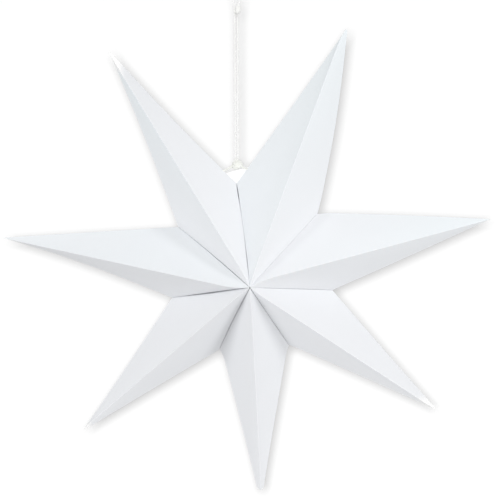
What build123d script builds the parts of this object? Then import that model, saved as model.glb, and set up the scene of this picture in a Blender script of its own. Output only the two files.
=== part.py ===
from build123d import *
from math import cos, pi, radians, sin, sqrt, tan
import os

# Folded card star hanging from a looped cord. Lengths are in millimetres and angles in degrees.
# The origin is inside the top of the hanging loop, +Z is up along the cord and -Y faces the viewer.

# Star
TIP_RADIUS = 225.0
VALLEY_RADIUS = 80.0
HALF_DEPTH = 60.0
STAR_TURN = 3.5

# Card, its folds and its glue flaps
CARD_THICKNESS = 0.5
RIDGE_FOLD_WIDTH = 0.8
GLUE_FLAP_WIDTH = 10.0
GLUE_FLAP_START = 14.0
CLOSING_FLAP_WIDTH = 8.0
CLOSING_FLAP_END = 30.0
CORNER_SLIT = 1.0
CORNER_SLIT_END = 4.0
CENTRE_CLIP_RADIUS = 0.8
CLOSURE_GAP = 0.8

# Each folded point in turn, clockwise from the upper right, as the hand-made star has come out:
# its name, the turn and the stretch of its tip, the length cut off its tip, then the turn and the
# stretch of the valley that follows it, and the width of the soft fold on both sides of that valley
POINTS = [
    ("point_upper_right", 0.9, 5.5, 2.0, 0.0, 3.7, 0.8),
    ("point_right", -3.4, -4.3, 2.0, -2.4, -2.3, 1.2),
    ("point_lower_right", -1.6, -3.4, 5.0, -1.3, -4.0, 2.0),
    ("point_bottom", -0.7, 2.4, 16.0, 1.9, -3.7, 2.2),
    ("point_lower_left", 1.8, -3.9, 4.0, 1.4, -4.6, 2.6),
    ("point_left", 1.1, 0.1, 2.0, 1.6, -1.8, 2.0),
    ("point_upper_left", 2.6, 8.9, 4.0, 4.8, 3.5, 1.4),
]

# Cord and its knots
CORD_DIAMETER = 2.2
STRAND_GAP = 0.2
LOOP_HEIGHT = 30.0
LOOP_WIDTH = 9.2
LOOP_CROWN_WIDTH = 8.4
LOOP_SHOULDER = 10.6
STRAND_LENGTH = 133.0
NOTCH_KNOT_RISE = 17.2
PARTING_RISE = 13.7
NOTCH_KNOT_SIDE = 0.7
NOTCH_KNOT_HEIGHT = 9.4
NOTCH_KNOT_WIDTH = 10.0
LOOP_KNOT_HEIGHT = 8.6
LOOP_KNOT_WIDTH = 7.4
KNOT_TURN_TILT = 20.0
STOPPER_DIAMETER = 6.0
STOPPER_SEAT = 0.3
HOLE_FROM_NOTCH = 15.5
HOLE_CLEARANCE = 0.3
KNOT_CLEARANCE = 0.1
ARC_SHARE = 0.45

# What follows from the sizes above
PITCH = 360 / len(POINTS)
STRAND_OFFSET = (CORD_DIAMETER + STRAND_GAP) / 2
NOTCH_HEIGHT = -LOOP_HEIGHT - STRAND_LENGTH - NOTCH_KNOT_RISE
DEPTH = Vector(0, HALF_DEPTH, 0)
STOCK = 4 * TIP_RADIUS


def around(radius, angle):
    """A point in the outline plane, seen from the star's centre."""
    return Vector(radius * cos(radians(angle)), 0, radius * sin(radians(angle)))


def tip_arm(index):
    """From the star's centre to the sharp tip of a point."""
    name, turn, stretch, *rest = POINTS[index]
    angle = 90 - PITCH * (index + 0.5) + STAR_TURN + turn
    return around(TIP_RADIUS + stretch, angle)


def valley_arm(index):
    """From the star's centre to the notch that follows a point, clockwise."""
    turn, stretch = POINTS[index][4:6]
    angle = 90 - PITCH * (index + 1) + STAR_TURN + turn
    return around(VALLEY_RADIUS + stretch, angle)


CLOSURE = len(POINTS) - 1
TOP_NOTCH = Vector(0, 0, NOTCH_HEIGHT)
CENTRE = TOP_NOTCH - valley_arm(CLOSURE)


def facing(origin, normal, inside):
    """The plane through origin whose normal points away from the inside."""
    unit = normal.normalized()
    if (inside - origin).dot(unit) > 0:
        unit = -unit
    return Plane(origin=origin, z_dir=unit)


def soft_fold(face, neighbour, origin, width):
    """The narrow flat that a fold of this width leaves between two faces."""
    middle = (face.z_dir + neighbour.z_dir).normalized()
    half_turn = radians(face.z_dir.get_angle(middle))
    sunk = width / 2 * tan(half_turn)
    return Plane(origin=origin - middle * sunk, z_dir=middle)


def carve(faces, inset=0.0):
    """The block that lies behind every face, each moved inward by the inset."""
    block = Pos(CENTRE) * Box(STOCK, STOCK, STOCK)
    for face in faces:
        block = split(block, bisect_by=face.offset(-inset), keep=Keep.BOTTOM)
    return block.solid()


def seam_face(valley_index, valley, inside):
    """The radial plane of a seam, half the closing gap back where the star is tied shut."""
    face = facing(CENTRE, valley.cross(Vector(0, 1, 0)), inside)
    return face.offset(-CLOSURE_GAP / 2) if valley_index == CLOSURE else face


def flap_window(face, valley):
    """What is cut out of a radial wall, so that only the glue flaps along its two valleys stay."""
    reach = valley.length
    edge_length = sqrt(reach**2 + HALF_DEPTH**2)
    along = (reach / edge_length, HALF_DEPTH / edge_length)
    inward = (-HALF_DEPTH / edge_length, reach / edge_length)
    lip = 3 * CARD_THICKNESS

    def place(run, sunk):
        """A point in the radial plane, from the raised centre along and in from the valley."""
        return (along[0] * run + inward[0] * sunk, along[1] * run + inward[1] * sunk - HALF_DEPTH)

    behind = (lip * HALF_DEPTH - GLUE_FLAP_WIDTH * edge_length) / reach
    half_slit = CORNER_SLIT / 2
    flap_end = (HALF_DEPTH - half_slit - inward[1] * GLUE_FLAP_WIDTH) / along[1]
    front = [
        place(behind, lip),
        place(GLUE_FLAP_START, lip),
        place(GLUE_FLAP_START + GLUE_FLAP_WIDTH, GLUE_FLAP_WIDTH),
        place(flap_end, GLUE_FLAP_WIDTH),
        (reach - CORNER_SLIT_END, -half_slit),
    ]
    back = [(radius, -depth) for radius, depth in reversed(front)]
    wall = Plane(origin=face.origin, x_dir=valley.normalized(), z_dir=face.z_dir)
    outline = Polygon(*front, *back, align=None)
    return extrude(wall * outline, amount=2 * CARD_THICKNESS, both=True)


def closing_flap(panel, other_panel, tip, valley):
    """The strip that closes the sheet, glued behind a back panel along the ridge."""
    raised = CENTRE + DEPTH
    ridge = (tip - raised).normalized()
    aside = ridge.cross(panel.z_dir)
    if aside.dot(valley - raised) < 0:
        aside = -aside
    faces = [
        panel.offset(-CARD_THICKNESS),
        Plane(origin=panel.origin - panel.z_dir * 2 * CARD_THICKNESS, z_dir=-panel.z_dir),
        other_panel.offset(-CARD_THICKNESS),
        Plane(origin=raised + aside * CLOSING_FLAP_WIDTH, z_dir=aside),
        Plane(origin=raised + ridge * GLUE_FLAP_START, z_dir=-ridge),
        Plane(origin=tip - ridge * CLOSING_FLAP_END, z_dir=ridge),
    ]
    return carve(faces)


def folded_point(index):
    """One sheet of card folded into a hollow four-sided point with its flaps."""
    tip_cut = POINTS[index][3]
    tip = CENTRE + tip_arm(index)
    sides = [index - 1 if index else CLOSURE, index]
    inside = CENTRE + tip_arm(index) / 2
    panels = {}
    seams = []
    folds = []
    windows = []
    for side in sides:
        valley = valley_arm(side)
        fold_width = POINTS[side][6]
        seam = seam_face(side, valley, inside)
        seams.append(seam)
        windows.append(flap_window(seam, valley))
        for raised in (CENTRE - DEPTH, CENTRE + DEPTH):
            normal = (tip - raised).cross(CENTRE + valley - raised)
            panel = facing(raised, normal, inside)
            panels[side, raised.Y] = panel
            foot = plane_meeting(seam, raised, CENTRE + valley)
            folds.append(soft_fold(panel, seam, foot, fold_width))
        outline = [panels[side, -HALF_DEPTH], panels[side, HALF_DEPTH]]
        folds.append(soft_fold(*outline, tip, RIDGE_FOLD_WIDTH))
    for depth in (-HALF_DEPTH, HALF_DEPTH):
        ridge = [panels[side, depth] for side in sides]
        folds.append(soft_fold(*ridge, tip, RIDGE_FOLD_WIDTH))
    blunt_end = Plane(origin=tip - tip_arm(index).normalized() * tip_cut, z_dir=tip_arm(index))
    walls = [*panels.values(), *seams, *folds, blunt_end]
    sheet = carve(walls) - carve(walls, CARD_THICKNESS)
    for window in windows:
        sheet = sheet - window
    back_panels = [panels[side, HALF_DEPTH] for side in sides]
    sheet = sheet + closing_flap(*back_panels, tip, CENTRE + valley_arm(sides[0]))
    clip = Pos(CENTRE) * Rot(90, 0, 0) * Cylinder(CENTRE_CLIP_RADIUS, 3 * HALF_DEPTH)
    return sheet - clip


def plane_meeting(seam, raised, notch):
    """Where the panel's valley edge meets the seam plane, sunk along the panel where it gapes."""
    middle = (raised + notch) / 2
    return middle - seam.z_dir * (middle - seam.origin).dot(seam.z_dir)


def punched_hole(tip):
    """Where the cord goes through the outline fold beside the top notch."""
    return TOP_NOTCH + (tip - TOP_NOTCH).normalized() * HOLE_FROM_NOTCH


def cord_hole(hole, parting):
    """The punched hole, in line with the cord that goes through it."""
    line = (hole - parting).normalized()
    radius = CORD_DIAMETER / 2 + HOLE_CLEARANCE
    return Plane(origin=hole, z_dir=line) * Cylinder(radius, STOPPER_DIAMETER)


def stopper_place(hole, parting, tip):
    """The centre of a stopper knot that rests behind the two panels beside the hole."""
    line = (hole - parting).normalized()
    edge = (tip - TOP_NOTCH).normalized()
    into_point = edge.cross(Vector(0, 1, 0))
    if into_point.dot(line) < 0:
        into_point = -into_point
    panel = (CENTRE - DEPTH - TOP_NOTCH).cross(edge).normalized()
    slope = abs(panel.dot(into_point))
    sunk = (STOPPER_DIAMETER / 2 + CARD_THICKNESS + STOPPER_SEAT) / slope
    return hole + line * (sunk / line.dot(into_point))


def cord_route(stoppers, partings):
    """The cord from one stopper knot up one strand, round the loop and down the other."""
    crown = CORD_DIAMETER / 2
    rising = [
        stoppers[0],
        partings[0],
        Vector(-STRAND_OFFSET, 0, -LOOP_HEIGHT),
        Vector(-LOOP_WIDTH / 2, 0, crown - LOOP_SHOULDER),
        Vector(-LOOP_CROWN_WIDTH / 2, 0, crown),
    ]
    falling = [
        Vector(LOOP_CROWN_WIDTH / 2, 0, crown),
        Vector(LOOP_WIDTH / 2, 0, crown - LOOP_SHOULDER),
        Vector(STRAND_OFFSET, 0, -LOOP_HEIGHT),
        partings[1],
        stoppers[1],
    ]
    return rising + falling


def corner_radii(route):
    """For each corner the largest arc that its two runs allow."""
    radii = []
    for before, corner, after in zip(route, route[1:], route[2:]):
        shorter_run = min((corner - before).length, (after - corner).length)
        half_turn = radians((corner - before).get_angle(after - corner)) / 2
        radii.append(ARC_SHARE * shorter_run / tan(half_turn))
    return radii


def round_tube(path, diameter):
    """A plain round tube along the path."""
    return sweep(Plane(origin=path @ 0, z_dir=path % 0) * Circle(diameter / 2), path=path)


def tied_knot(centre, width, height):
    """Two tilted turns of the cord, drawn tight round a rounded core."""
    turn_radius = CORD_DIAMETER * 0.55
    core_radius = width / 2 - turn_radius / 2
    core = fillet(Cylinder(core_radius, height).edges(), core_radius * 0.6)
    knot = core
    for side in (-1, 1):
        turn = Torus(width / 2 - turn_radius, turn_radius)
        lift = Pos(0, 0, side * (height / 2 - turn_radius * 1.6))
        knot = knot + lift * Rot(0, side * KNOT_TURN_TILT, 0) * turn
    return Pos(centre) * knot


def make_parts():
    """Every node of the star by name."""
    tips = [CENTRE + tip_arm(CLOSURE), CENTRE + tip_arm(0)]
    holes = [punched_hole(tip) for tip in tips]
    partings = [TOP_NOTCH + Vector(side * STRAND_OFFSET, 0, PARTING_RISE) for side in (-1, 1)]
    stoppers = [stopper_place(*at) for at in zip(holes, partings, tips)]

    parts = {POINTS[index][0]: folded_point(index) for index in range(len(POINTS))}
    for index, hole, parting in zip((CLOSURE, 0), holes, partings):
        name = POINTS[index][0]
        parts[name] = parts[name] - cord_hole(hole, parting)

    route = cord_route(stoppers, partings)
    radii = corner_radii(route)
    path = FilletPolyline(*route, radius=radii)
    cord = round_tube(path, CORD_DIAMETER)
    cord_space = round_tube(path, CORD_DIAMETER + 2 * KNOT_CLEARANCE)
    print("cord route", [tuple(round(value, 2) for value in point) for point in route])
    print("cord radii", [round(radius, 2) for radius in radii])
    print("cord length", round(path.length, 2))
    section_area = pi * CORD_DIAMETER**2 / 4
    print("tube volume over section times length", round(cord.volume / (section_area * path.length), 4))
    parts["hanging_cord"] = cord

    notch_knot_centre = TOP_NOTCH + Vector(NOTCH_KNOT_SIDE, 0, NOTCH_KNOT_RISE)
    notch_knot = tied_knot(notch_knot_centre, NOTCH_KNOT_WIDTH, NOTCH_KNOT_HEIGHT)
    parts["notch_knot"] = notch_knot - cord_space
    loop_knot = tied_knot(Vector(0, 0, -LOOP_HEIGHT), LOOP_KNOT_WIDTH, LOOP_KNOT_HEIGHT)
    parts["loop_knot"] = loop_knot - cord_space
    for name, stopper in zip(("stopper_knot_left", "stopper_knot_right"), stoppers):
        parts[name] = Pos(stopper) * Sphere(STOPPER_DIAMETER / 2) - cord_space
    return parts


os.makedirs("parts", exist_ok=True)
for node, shape in make_parts().items():
    export_step(shape, f"parts/{node}.step")
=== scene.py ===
import math

import bpy
import numpy as np
from bpy.props import FloatProperty, FloatVectorProperty, IntProperty, PointerProperty
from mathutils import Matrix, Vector


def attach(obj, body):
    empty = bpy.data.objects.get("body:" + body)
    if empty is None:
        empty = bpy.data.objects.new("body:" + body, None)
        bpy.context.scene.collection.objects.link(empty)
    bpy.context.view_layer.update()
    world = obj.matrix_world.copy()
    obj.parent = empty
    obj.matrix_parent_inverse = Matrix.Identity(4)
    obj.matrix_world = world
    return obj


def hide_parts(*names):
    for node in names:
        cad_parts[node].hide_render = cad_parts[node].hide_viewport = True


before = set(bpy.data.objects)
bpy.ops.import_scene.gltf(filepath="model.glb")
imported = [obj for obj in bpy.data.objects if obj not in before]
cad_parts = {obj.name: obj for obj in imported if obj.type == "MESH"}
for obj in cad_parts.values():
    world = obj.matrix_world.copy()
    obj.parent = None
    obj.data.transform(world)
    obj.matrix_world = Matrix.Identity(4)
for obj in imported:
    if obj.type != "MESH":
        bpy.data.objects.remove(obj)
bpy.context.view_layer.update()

bl_info = {
    "name": "Folded Card Star",
    "version": (1, 0, 0),
    "blender": (4, 5, 0),
    "location": "3D View > Sidebar > Card Star",
    "description": "Builds a hanging star of seven folded card points on a knotted cotton cord",
    "category": "Add Mesh",
}

DEEP = np.array([0.0, 1.0, 0.0])
UPWARD = np.array([0.0, 0.0, 1.0])

# Each folded point, clockwise from the upper right: its node, the turn (degrees) and stretch (mm) of
# its tip, the turn and stretch of the valley that follows it, and the width (mm) of the soft fold on
# both sides of that valley.
POINTS = [
    ("point_upper_right", 0.9, 5.5, 0.0, 3.7, 0.8),
    ("point_right", -3.4, -4.3, -2.4, -2.3, 1.2),
    ("point_lower_right", -1.6, -3.4, -1.3, -4.0, 0.9),
    ("point_bottom", -0.8, 2.4, 1.9, -3.7, 1.1),
    ("point_lower_left", 1.8, -3.9, 1.4, -4.6, 1.8),
    ("point_left", 1.0, 0.1, 1.6, -1.8, 1.4),
    ("point_upper_left", 2.6, 8.9, 4.8, 3.5, 0.9),
]
COUNT = len(POINTS)

# The seam that the cord ties shut comes after the last point.
TIED_SEAM = COUNT - 1

# Shares of the way round a soft fold, down a glue flap, over a blunt tip and round the back ridge.
FOLD_STEPS = np.linspace(0, 1, 7)
FLAP_STEPS = np.linspace(0, 1, 6)[1:]
CAP_STEPS = np.linspace(0.98, 0, 7)[:-1]
HEM_STEPS = np.linspace(1, 0, 5)

# The least depth (m) of a glue flap, so that no face is empty, and what is kept clear of a seam (m).
LEAST_FLAP = 0.00004
SEAM_CLEARANCE = 0.00001

# Over how many metres in front of the outline plane a seam's gap opens: the tied one, and the others.
TIED_GAP_DEPTH, GLUED_GAP_DEPTH = 0.003, 0.012

# What is left of a fold's width at the raised centre, where the folds of all points crowd together,
# and from how far (m) it is whole.
CROWDED_FOLD, CROWDED_RUN = 0.03, 0.014

# How thick (m) the card would be a whole length away from its tip, as it thins toward the tip.
TIP_THINNING = 0.006

# How close (m) to a seam the card is drawn aside with it.
PULL_WIDTH = 0.013

# Where the random phases of the sheets' slow waves start from.
WAVE_SEED = 17

# How far (mm) the two sheets stand apart along the valley that follows each point, at five even
# stations from the raised centre out to the notch.
VALLEY_GAPS = [
    (0.01, 0.01, 0.01, 0.01, 0.01),
    (0.02, 0.15, 0.20, 0.20, 0.30),
    (0.25, 0.30, 0.20, 0.25, 0.25),
    (0.30, 0.35, 0.25, 0.30, 0.10),
    (0.02, 1.05, 1.40, 0.75, 0.10),
    (0.15, 0.50, 0.40, 0.15, 0.05),
    (0.02, 0.35, 0.06, 0.05, 1.10),
]

# How the card rolls into each valley, and the painted shade beside it, on the point before it and on
# the point after it, clockwise: how deep (mm), how much painted shade there, how much painted shade at
# most, how far (mm) from the seam the roll begins at the notch, and what share of that is left at the centre.
VALLEY_ROLLS_AND_SHADE = [
    ((0.0, 0.1, 0.04, 8.0, 0.5), (0.0, 0.48, 0.15, 17.0, 0.5)),
    ((0.1, 0.05, 0.05, 6.0, 1.0), (0.1, 0.05, 0.05, 6.0, 1.0)),
    ((0.9, 0.42, 0.42, 9.0, 1.0), (1.7, 1.0, 0.62, 25.0, 0.3)),
    ((1.8, 1.0, 0.9, 24.0, 0.0), (1.7, 1.0, 0.55, 24.0, 0.2)),
    ((0.2, 0.1, 0.1, 7.0, 1.0), (0.2, 0.1, 0.1, 7.0, 1.0)),
    ((0.3, 0.95, 0.34, 30.0, 0.1), (0.2, 0.42, 0.12, 9.0, 1.0)),
    ((0.1, 0.05, 0.05, 6.0, 1.0), (0.1, 0.05, 0.05, 6.0, 1.0)),
]

# How far (mm) each seam is drawn aside where its two sheets curl: at the notch to the right and
# upward, and clockwise at the middle of its length.
SEAM_PULLS = [
    (-0.9, -1.2, 0.0),
    (0.0, 0.0, 0.0),
    (0.9, -1.2, 0.2),
    (-1.8, -0.6, 0.0),
    (0.0, 0.0, -0.2),
    (0.0, 0.0, 0.7),
    (0.0, 0.0, 0.85),
]

# How far (mm) each tip reaches past its creased length, how much (mm) of it is blunt and over how
# many millimetres it is painted white, a painted highlight where the tip catches the light.
TIP_ENDS = [
    (4.6, 2.6, 0.0),
    (3.4, 0.8, 0.0),
    (0.0, 4.0, 25.0),
    (0.0, 15.0, 0.0),
    (0.0, 3.0, 13.0),
    (2.6, 0.8, 0.0),
    (1.5, 3.0, 27.0),
]

# Painted light and shade: how much lighter the card is painted on each point's two front panels, as a
# share of its white, for how the light falls on them: the panel after the ridge, clockwise, at its
# centre end and tip end, and the panel before it.
PANEL_PAINTED_LIGHT = [
    (0.000, -0.019, 0.004, -0.020),
    (-0.023, -0.010, 0.018, 0.038),
    (0.008, 0.052, 0.000, 0.000),
    (0.010, 0.030, -0.004, 0.017),
    (0.000, 0.010, -0.036, -0.008),
    (0.005, 0.008, -0.052, -0.032),
    (0.012, -0.062, 0.008, 0.045),
]

# How much cooler the card comes out there, as shares of the most.
PANEL_COOLNESS = [
    (0.0, 0.85, 0.4, 0.9),
    (0.0, 0.3, 0.0, 0.9),
    (0.0, 0.0, 0.0, 0.0),
    (0.0, 0.0, 0.0, 0.0),
    (0.0, 0.0, 0.0, 0.0),
    (0.4, 0.4, 0.0, 0.0),
    (0.0, 0.0, 0.0, 1.0),
]

# How far (mm) each point's outlines bow outward half way along, before and after it, clockwise.
OUTLINE_BOWS = [
    (-0.4, 2.8),
    (0.6, 0.4),
    (-0.5, -0.2),
    (-0.4, -0.6),
    (-0.3, -0.6),
    (-2.6, 0.1),
    (-1.5, -1.4),
]

# How far (mm) each front ridge runs beside the straight line from centre to tip, clockwise, at its
# centre end and at its tip end.
RIDGE_SHIFTS = [
    (-1.4, -2.7),
    (-3.2, 0.2),
    (0.7, 0.7),
    (-0.3, -0.8),
    (1.1, 1.0),
    (-3.5, -0.2),
    (1.2, -1.1),
]

# How far (mm) the four panels of each point belly out, from the back ridge round by the following
# valley, the front ridge and the valley before it.
PANEL_BELLIES = [
    (0.3, 0.4, -0.3, 0.2),
    (-0.2, 0.3, 0.3, 0.3),
    (0.3, -0.2, 0.3, -0.2),
    (0.2, 0.3, -0.3, 0.3),
    (-0.3, 0.3, 0.2, 0.3),
    (0.3, -0.3, 0.3, -0.2),
    (0.2, 0.3, 0.3, -0.3),
]

# The cord's route (mm) in the plane of the star: stopper knot, parting, strand, loop, and back.
CORD_ROUTE = [
    (-16.12, -170.43),
    (-1.2, -166.5),
    (-1.2, -151.1),
    (-1.2, -50.8),
    (-1.2, -30.0),
    (-4.6, -9.5),
    (-4.2, 1.1),
    (4.2, 1.1),
    (4.6, -9.5),
    (1.2, -30.0),
    (1.2, -50.8),
    (1.2, -152.5),
    (1.2, -166.5),
    (15.02, -168.52),
]

# The step (m) along the cord from ring to ring, and the sides of each yarn and its radius as a share
# of the cord's diameter.
CORD_STEP = 0.0004
YARN_SIDES, YARN_RADIUS = 8, 0.29

# How much of the cord's thickness is left where it hangs free, and how much less under its loop.
CORD_FULLNESS, PULLED_THINNER = 0.88, 0.06

# Painted shade: how much darker a yarn is painted where it lies against the next, and how dark the core of a
# knot is painted.
YARN_SHADE, CORE_SHADE = 0.42, 0.6

# How much a knot's turns rise to the right, and how far its foot leans over, in widths.
KNOT_SLANT, KNOT_LEAN = 0.35, 0.24

# From the camera to the wall lamp (m), how much light the wall gives back, and how bright it stays
# in full shadow.
HALO_OFFSET = np.array([-0.030, 0.0, 0.031])
WALL_PAINT, WALL_GLOW = 0.06, 0.500

# The opening under the notch knot, as seen on the wall (m), where the wall glows with painted light: the
# upward normal of its top edge, that edge's height along the normal, the opening's middle, and over
# which radii its painted light ends.
OPENING_SLOPE = (-0.259, 0.0, 0.966)
OPENING_HEIGHT = -0.16766
OPENING_CENTRE = (-0.00099, -0.17813)
OPENING_RADII = (0.020, 0.016)


class STAR_PG_card(bpy.types.PropertyGroup):
    """Sizes of the folded card, in metres."""

    tip_radius: FloatProperty(
        name="Tip radius", description="Centre to an even tip", default=0.225, unit="LENGTH"
    )
    valley_radius: FloatProperty(
        name="Valley radius", description="Centre to an even notch", default=0.080, unit="LENGTH"
    )
    half_depth: FloatProperty(
        name="Half depth", description="Outline plane to a raised centre", default=0.060, unit="LENGTH"
    )
    star_turn: FloatProperty(
        name="Turn", description="How far the star has rolled on its cord", default=math.radians(3.5),
        subtype="ANGLE",
    )
    centre: FloatVectorProperty(
        name="Centre", description="Middle of the star", default=(0.012054, 0.0, -0.262825), subtype="XYZ",
        unit="LENGTH",
    )
    thickness: FloatProperty(name="Card", description="Thickness of the card", default=0.0005, unit="LENGTH")
    ridge_fold: FloatProperty(
        name="Ridge fold", description="Width of the rounding along a sharp fold", default=0.0008,
        unit="LENGTH",
    )
    flap_width: FloatProperty(
        name="Glue flap", description="Width of a glue flap", default=0.010, unit="LENGTH"
    )
    flap_start: FloatProperty(
        name="Flap start", description="Raised centre to the start of a flap", default=0.014, unit="LENGTH"
    )
    closing_flap: FloatProperty(
        name="Closing flap", description="Width of the flap behind the back ridge", default=0.008,
        unit="LENGTH",
    )
    centre_clip: FloatProperty(
        name="Centre clip", description="Radius left open where all points meet", default=0.0002,
        unit="LENGTH",
    )
    waviness: FloatProperty(
        name="Waviness", description="Height of the slow waves in the card", default=0.00016, unit="LENGTH"
    )
    rows: IntProperty(name="Rows", description="Mesh rows along a point", default=56)
    columns: IntProperty(name="Columns", description="Mesh columns across a panel", default=17)
    card_colour: FloatVectorProperty(
        name="Card colour", description="White of the card", default=(0.881, 0.894, 0.918), subtype="COLOR",
        min=0, max=1,
    )
    core_colour: FloatVectorProperty(
        name="Cut edge colour", description="Raw cut edge of the card", default=(0.80, 0.795, 0.78),
        subtype="COLOR", min=0, max=1,
    )


class STAR_PG_cord(bpy.types.PropertyGroup):
    """Sizes of the cotton cord and its knots, in metres."""

    diameter: FloatProperty(name="Cord", description="Diameter of the cord", default=0.0022, unit="LENGTH")
    lay: FloatProperty(
        name="Lay", description="Length of one turn of the twist", default=0.0075, unit="LENGTH"
    )
    plies: IntProperty(name="Plies", description="Yarns twisted into the cord", default=3)
    notch_knot_width: FloatProperty(
        name="Notch knot width", description="Width of the knot over the notch", default=0.0100, unit="LENGTH"
    )
    notch_knot_height: FloatProperty(
        name="Notch knot height", description="Height of the knot over the notch", default=0.0082,
        unit="LENGTH",
    )
    notch_knot_centre: FloatVectorProperty(
        name="Notch knot", description="Middle of the knot over the notch", default=(0.0009, 0.0, -0.1636),
        subtype="XYZ", unit="LENGTH",
    )
    loop_knot_width: FloatProperty(
        name="Loop knot width", description="Width of the knot under the loop", default=0.0054, unit="LENGTH"
    )
    loop_knot_height: FloatProperty(
        name="Loop knot height", description="Height of the knot under the loop", default=0.0080,
        unit="LENGTH",
    )
    loop_knot_centre: FloatVectorProperty(
        name="Loop knot", description="Middle of the knot under the loop", default=(0.0015, 0.0, -0.0296),
        subtype="XYZ", unit="LENGTH",
    )
    stopper_width: FloatProperty(
        name="Stopper knot", description="Width of a stopper knot", default=0.0060, unit="LENGTH"
    )
    yarn_colour: FloatVectorProperty(
        name="Yarn colour", description="Undyed cotton", default=(0.955, 0.955, 0.945), subtype="COLOR",
        min=0, max=1,
    )
    # Partly a greyer, yellower cotton on the knots and partly painted shade, where the knots and the strings
    # beside the notch knot lie in shade.
    handled_and_shaded_colour: FloatVectorProperty(
        name="Handled colour", description="Cotton greyed by tying it", default=(0.916, 0.921, 0.876),
        subtype="COLOR", min=0, max=1,
    )


class STAR_PG_stage(bpy.types.PropertyGroup):
    """Camera, wall and light, in metres."""

    camera_place: FloatVectorProperty(
        name="Camera", description="Where the camera stands", default=(0.012170, -0.738606, -0.110946),
        subtype="XYZ", unit="LENGTH",
    )
    camera_target: FloatVectorProperty(
        name="Target", description="What the camera looks at", default=(0.012170, 0.0, -0.241182),
        subtype="XYZ", unit="LENGTH",
    )
    lens: FloatProperty(name="Lens", description="Focal length in millimetres", default=59.2)
    wall_depth: FloatProperty(
        name="Wall", description="How far the wall is behind the outline plane", default=0.0635, unit="LENGTH"
    )
    wall_radius: FloatProperty(
        name="Wall radius", description="How far the wall's shade reaches", default=0.40, unit="LENGTH"
    )
    ambient: FloatProperty(name="Room light", description="Strength of the even room light", default=0.628)
    front: FloatProperty(
        name="Front light", description="Strength of the soft light beside the camera", default=0.886
    )
    right: FloatProperty(
        name="Right light", description="Strength of the broad light from the right", default=0.412
    )
    left: FloatProperty(
        name="Left light", description="Strength of the broad light from the left", default=0.393
    )
    back: FloatProperty(name="Back light", description="Strength of the soft light from behind", default=0.55)
    halo: FloatProperty(
        name="Wall lamp", description="Power of the lamp that lights only the wall, in watts", default=50.6
    )
    halo_size: FloatProperty(
        name="Wall lamp size", description="Diameter of the wall lamp", default=0.192, unit="LENGTH"
    )


def around(radius, angle):
    """A point at this radius and angle (radians) in the upright plane y = 0."""
    return np.array([radius * math.cos(angle), 0.0, radius * math.sin(angle)])


def tip_arm(card, index):
    """From the centre to a sharp tip: half a pitch before its valley, plus its own turn and stretch."""
    turn, stretch = POINTS[index][1:3]
    angle = math.radians(90 - 360 / COUNT * (index + 0.5) + turn) + card.star_turn
    return around(card.tip_radius + (stretch + TIP_ENDS[index][0]) / 1000, angle)


def valley_arm(card, index):
    """From the centre to the notch after a point: whole pitches, plus its own turn and stretch."""
    turn, stretch = POINTS[index][3:5]
    angle = math.radians(90 - 360 / COUNT * (index + 1) + turn) + card.star_turn
    return around(card.valley_radius + stretch / 1000, angle)


def unit(vectors):
    """The same vectors, each one metre long."""
    return vectors / np.maximum(np.linalg.norm(vectors, axis=-1, keepdims=True), 1e-12)


def ramp(value, start, end):
    """0 up to the start and 1 from the end on, straight between."""
    return np.clip((value - start) / (end - start), 0, 1)


def eased(count):
    """Numbers from 0 to 1 that lie closer together at both ends: (1 - cos) / 2."""
    return (1 - np.cos(np.linspace(0, math.pi, count))) / 2


def bend(start, corner, end, share):
    """The quadratic curve start (1-t)^2 + corner 2t(1-t) + end t^2, at each share t on its own axis."""
    t = np.asarray(share)[..., None]
    return start * (1 - t) ** 2 + corner * 2 * t * (1 - t) + end * t**2


def grid_faces(rows, columns, first=0, turned=False):
    """Quads between the points of a grid that is stored row by row from the index first."""
    at = first + np.arange(rows * columns).reshape(rows, columns)
    faces = np.stack([at[:-1, :-1], at[:-1, 1:], at[1:, 1:], at[1:, :-1]], axis=-1).reshape(-1, 4)
    return faces[:, ::-1] if turned else faces


def strip_faces(upper, lower):
    """Quads between two rows of indices."""
    return np.stack([upper[:-1], lower[:-1], lower[1:], upper[1:]], axis=-1)


def make_object(name, points, faces, attributes, uv, material):
    """A smooth mesh object from arrays, with its point attributes and its UV map."""
    mesh = bpy.data.meshes.new(name)
    mesh.from_pydata(points.tolist(), [], faces.tolist())
    for label, values in attributes.items():
        layer = mesh.attributes.new(label, "FLOAT", "POINT")
        layer.data.foreach_set("value", values.astype(np.float32))
    corner_point = np.empty(len(mesh.loops), np.int32)
    mesh.loops.foreach_get("vertex_index", corner_point)
    layer = mesh.uv_layers.new(name="sheet")
    layer.data.foreach_set("uv", uv[corner_point].astype(np.float32).ravel())
    mesh.polygons.foreach_set("use_smooth", np.ones(len(mesh.polygons), bool))
    mesh.materials.append(material)
    mesh.update()
    mesh.validate()
    piece = bpy.data.objects.new(name, mesh)
    bpy.context.scene.collection.objects.link(piece)
    return piece


# Folded points


def slow_waves(first, second, seed):
    """Three crossed sine waves of 60 to 130 mm, whose sum stays between -1 and 1."""
    phase = np.random.default_rng(seed).uniform(0, 2 * math.pi, 3)
    wave = np.sin(first * 2 * math.pi / 0.13 + phase[0])
    wave = wave + 0.7 * np.sin((first * 0.6 + second) * 2 * math.pi / 0.085 + phase[1])
    wave = wave + 0.5 * np.sin((first - second * 1.4) * 2 * math.pi / 0.061 + phase[2])
    return wave / 2.2


def point_corners(card, index):
    """The sharp tip and the five base corners: back, following notch, front, notch before, back."""
    centre = np.array(card.centre)
    tip = centre + tip_arm(card, index)
    back = centre + DEEP * card.half_depth
    front = centre - DEEP * card.half_depth
    after = centre + valley_arm(card, index)
    before = centre + valley_arm(card, (index - 1) % COUNT)
    return tip, [back, after, front, before, back]


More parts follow.
